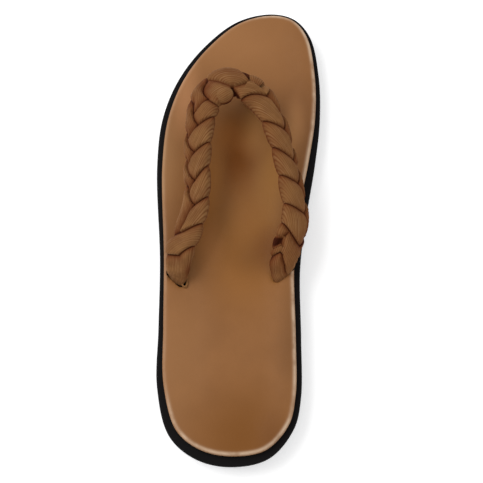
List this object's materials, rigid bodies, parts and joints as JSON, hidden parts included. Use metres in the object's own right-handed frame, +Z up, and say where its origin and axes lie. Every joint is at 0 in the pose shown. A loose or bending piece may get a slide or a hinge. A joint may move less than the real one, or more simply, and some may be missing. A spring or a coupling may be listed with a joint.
{
  "type": "thong slipper",
  "caption": "Flat thong slipper for the left foot: layered sole, padded leather footbed, and a plaited strap held between the toes by a toe post.",
  "frame": {"origin": "on the floor, under the middle of the sole", "axes": "+Y to the toe, +X to the inner side of the foot, +Z up"},
  "size_m": [0.0894, 0.26, 0.0403],
  "materials": {
    "outsole_rubber": "matt slate grey",
    "midsole_foam": "satin black",
    "footbed_leather": "smooth tan, shaded darker where the foot presses",
    "strap_tape": "ribbed tan tape"
  },
  "bodies": {
    "root": {"outsole": "outsole_rubber", "midsole": "midsole_foam", "footbed": "footbed_leather", "braided_strap": "strap_tape", "toe_post": "strap_tape"}
  },
  "joints": []
}
